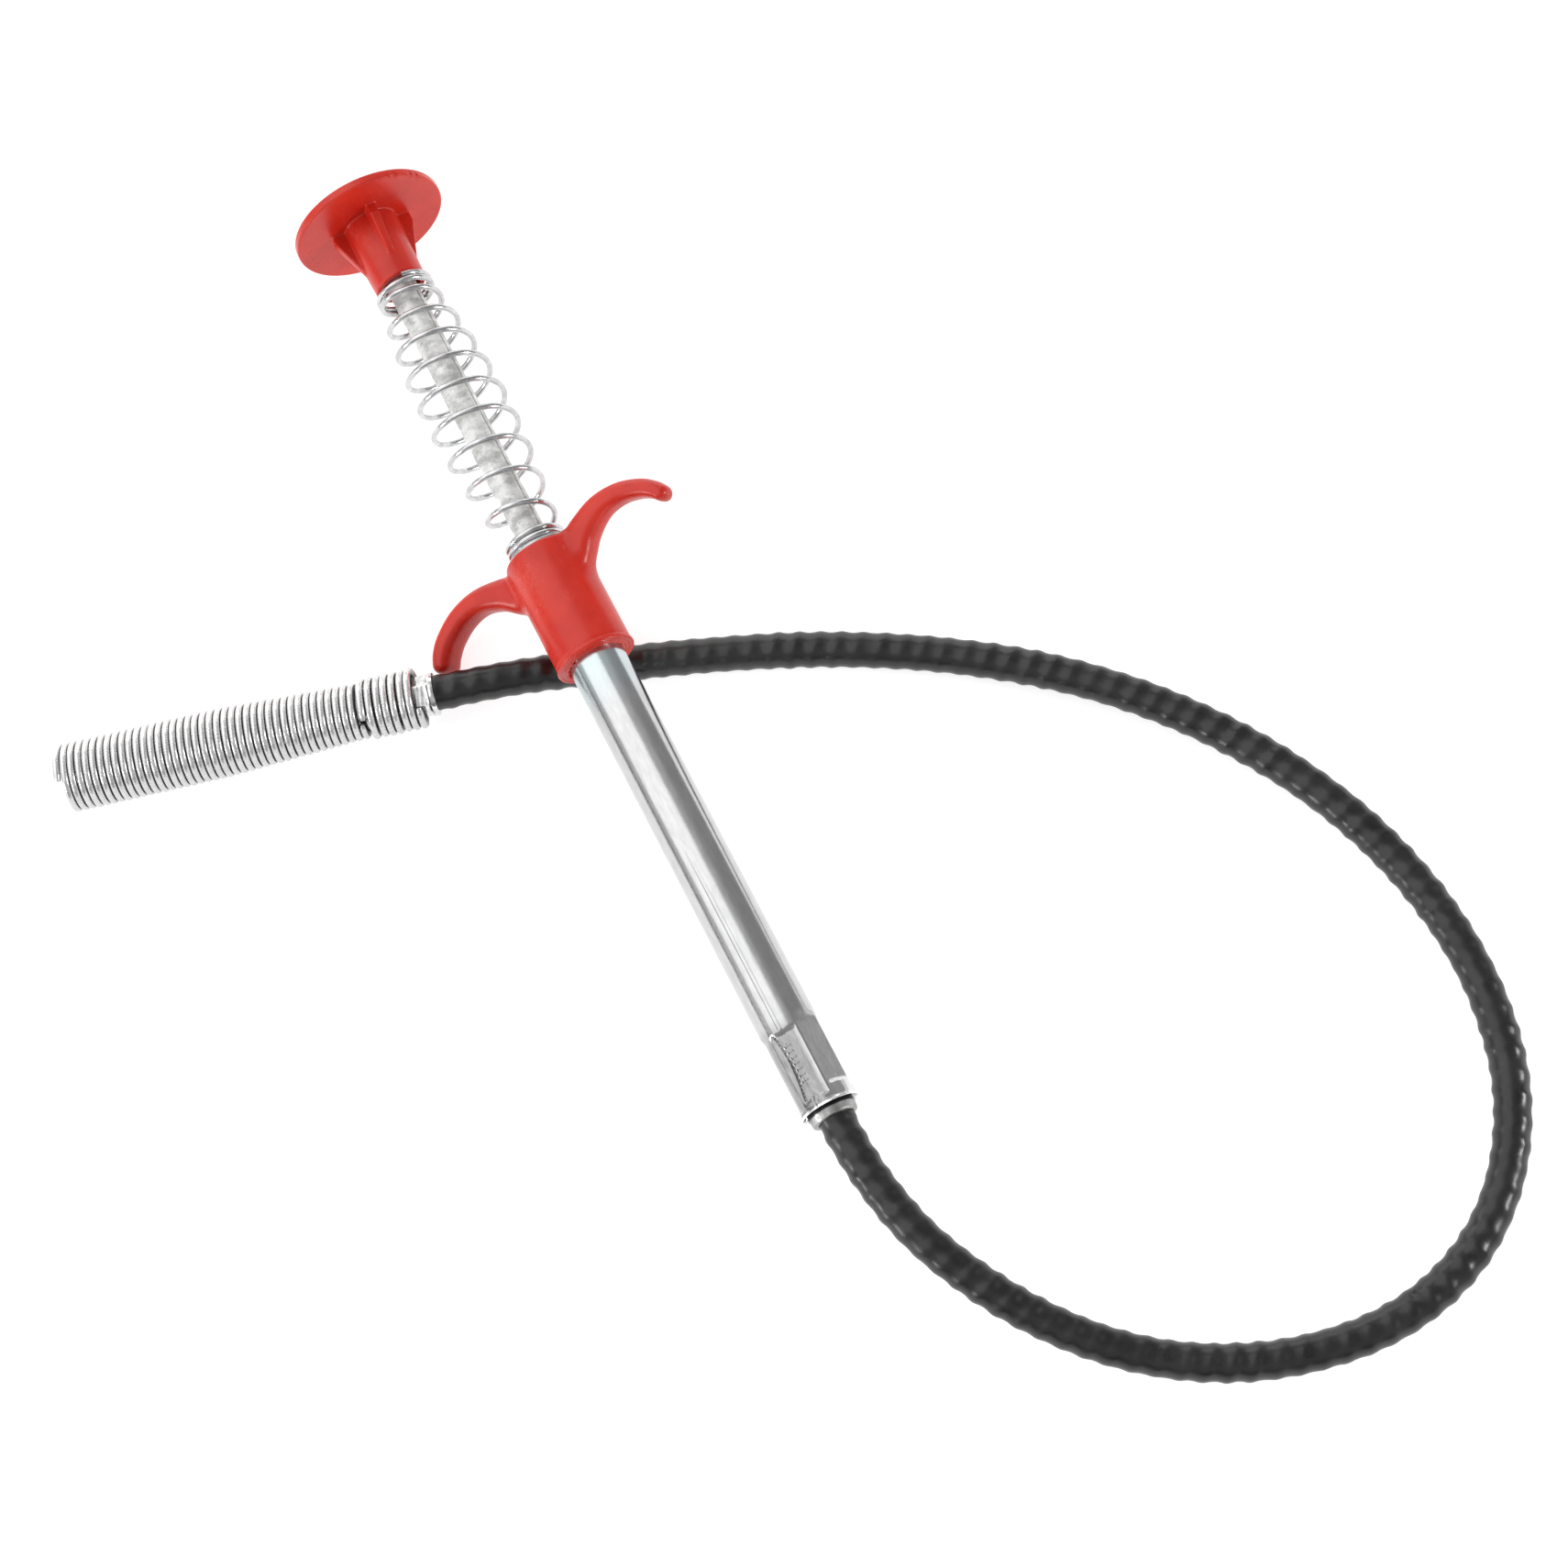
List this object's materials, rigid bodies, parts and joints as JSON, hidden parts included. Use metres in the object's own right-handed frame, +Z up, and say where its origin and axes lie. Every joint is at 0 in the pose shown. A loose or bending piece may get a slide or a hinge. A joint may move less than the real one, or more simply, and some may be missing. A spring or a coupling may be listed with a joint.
{
  "type": "drain auger",
  "caption": "Hand-pressed drain auger: thumb plunger with return spring, two-finger grip, plated barrel, black flexible hose and coiled head with a spread claw.",
  "frame": {"origin": "under the middle of the hand piece, on the surface it lies on", "axes": "+X along the barrel from the thumb plate to the hose; +Z up from the surface; the hose lies in a loop on the +Y side"},
  "size_m": [0.2299, 0.1787, 0.025],
  "materials": {
    "red_plastic": "injection-moulded, satin gloss",
    "galvanised_steel": "dull, rough zinc coat",
    "turned_steel": "turned",
    "steel_cable": "stranded",
    "zinc_spring_wire": "bright zinc",
    "bright_zinc": "bright zinc-plated seamed tube",
    "crimped_steel": "crimped, plated",
    "head_spring_wire": "bright spring wire",
    "claw_wire": "drawn wire",
    "black_vinyl": "semi-gloss vinyl over a wire coil"
  },
  "bodies": {
    "barrel_and_hose": {"return_spring": "zinc_spring_wire", "handle_grip": "red_plastic", "barrel_tube": "bright_zinc", "guide_bush": "turned_steel", "spring_washer": "turned_steel", "hose_collar": "crimped_steel", "hose_jacket": "black_vinyl", "hose_liner": "zinc_spring_wire", "drive_cable": "steel_cable", "head_ferrule": "crimped_steel", "head_root_coil": "head_spring_wire", "head_coil": "head_spring_wire"},
    "plunger": {"thumb_plate": "red_plastic", "plunger_tube": "galvanised_steel", "tube_end_plug": "turned_steel", "stop_ring": "turned_steel", "cable_drive_end": "steel_cable"},
    "claw": {"claw_carriage": "turned_steel", "cable_claw_end": "steel_cable"},
    "finger_1": {"claw_finger_1": "claw_wire"},
    "finger_2": {"claw_finger_2": "claw_wire"},
    "finger_3": {"claw_finger_3": "claw_wire"},
    "finger_4": {"claw_finger_4": "claw_wire"}
  },
  "joints": [
    {"name": "plunger_slide", "type": "slide", "parent": "barrel_and_hose", "child": "plunger", "axis": [1, 0, 0], "range_m": [0, 0.03], "stiffness_N_per_m": 180, "springref_m": -0.02, "deforming": ["return_spring"]},
    {"name": "claw_slide", "type": "slide", "parent": "barrel_and_hose", "child": "claw", "axis": [-0.2656, -0.9641, 0], "range_m": [0, 0.03]},
    {"name": "finger_1_spread", "type": "hinge", "parent": "claw", "child": "finger_1", "pos_m": [-0.01554, -0.05477, 0.0069], "axis": [-0.9641, 0.2656, 0], "range_deg": [0, 16]},
    {"name": "finger_2_spread", "type": "hinge", "parent": "claw", "child": "finger_2", "pos_m": [-0.01679, -0.05443, 0.0056], "axis": [0, 0, -1], "range_deg": [0, 16]},
    {"name": "finger_3_spread", "type": "hinge", "parent": "claw", "child": "finger_3", "pos_m": [-0.01554, -0.05477, 0.0043], "axis": [0.9641, -0.2656, 0], "range_deg": [0, 16]},
    {"name": "finger_4_spread", "type": "hinge", "parent": "claw", "child": "finger_4", "pos_m": [-0.01429, -0.05512, 0.0056], "axis": [0, 0, 1], "range_deg": [0, 16]}
  ],
  "couplings": [
    {"joint": "claw_slide", "follows": "plunger_slide", "ratio": 1},
    {"joint": "finger_1_spread", "follows": "plunger_slide", "rad_per_m": 9.3},
    {"joint": "finger_2_spread", "follows": "plunger_slide", "rad_per_m": 9.3},
    {"joint": "finger_3_spread", "follows": "plunger_slide", "rad_per_m": 9.3},
    {"joint": "finger_4_spread", "follows": "plunger_slide", "rad_per_m": 9.3}
  ]
}
